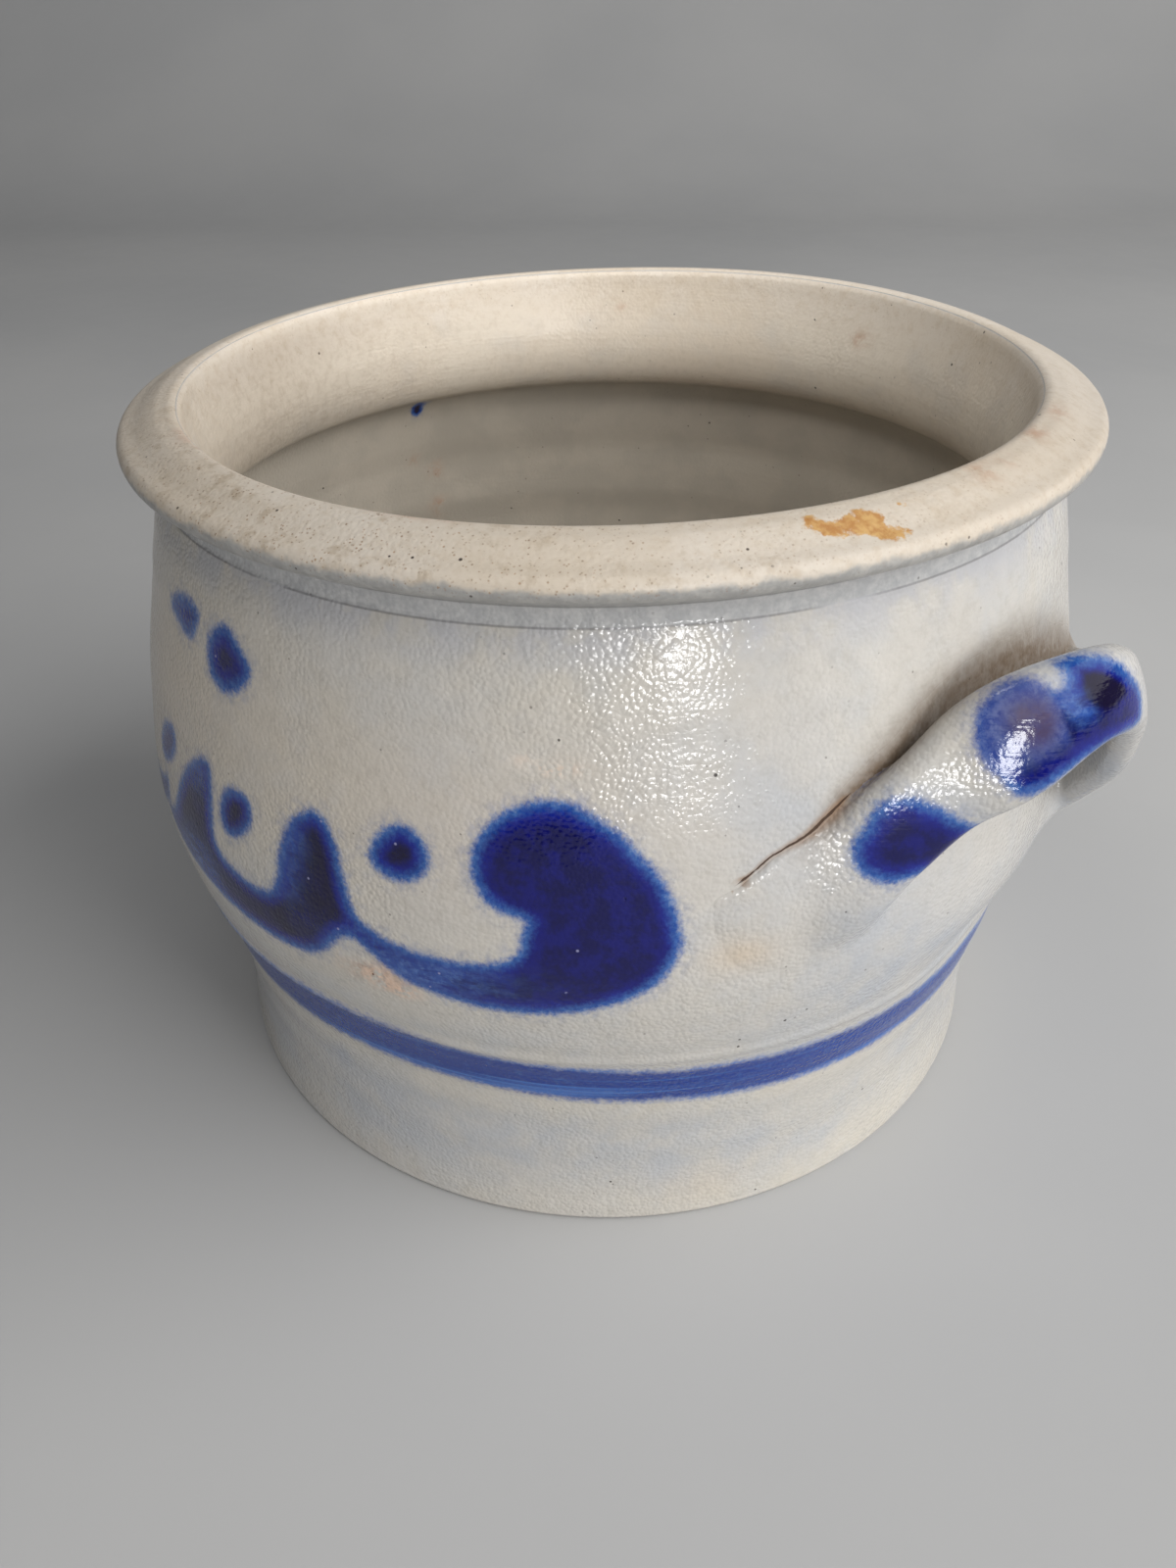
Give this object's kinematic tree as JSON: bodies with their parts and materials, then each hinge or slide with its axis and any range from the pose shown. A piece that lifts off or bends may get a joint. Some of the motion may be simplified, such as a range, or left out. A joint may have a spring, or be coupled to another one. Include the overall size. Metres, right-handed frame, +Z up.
{
  "type": "ceramic crock fermenter",
  "caption": "Wide salt-glazed stoneware crock for fermenting and keeping food, with a flanged rim, raised strap ears and blue brushwork.",
  "frame": {"origin": "centre of the foot's underside", "axes": "+Z up along the crock's axis, +X through the middle of the right ear, -Y towards the decorated front"},
  "size_m": [0.2638, 0.2284, 0.172],
  "materials": {
    "stoneware": "salt-glazed grey stoneware with orange-peel gloss and cobalt brushwork",
    "ear_stoneware": "salt-glazed grey stoneware with cobalt dabs"
  },
  "bodies": {
    "root": {"crock_body": "stoneware", "handle_right": "ear_stoneware", "handle_left": "ear_stoneware"}
  },
  "joints": []
}
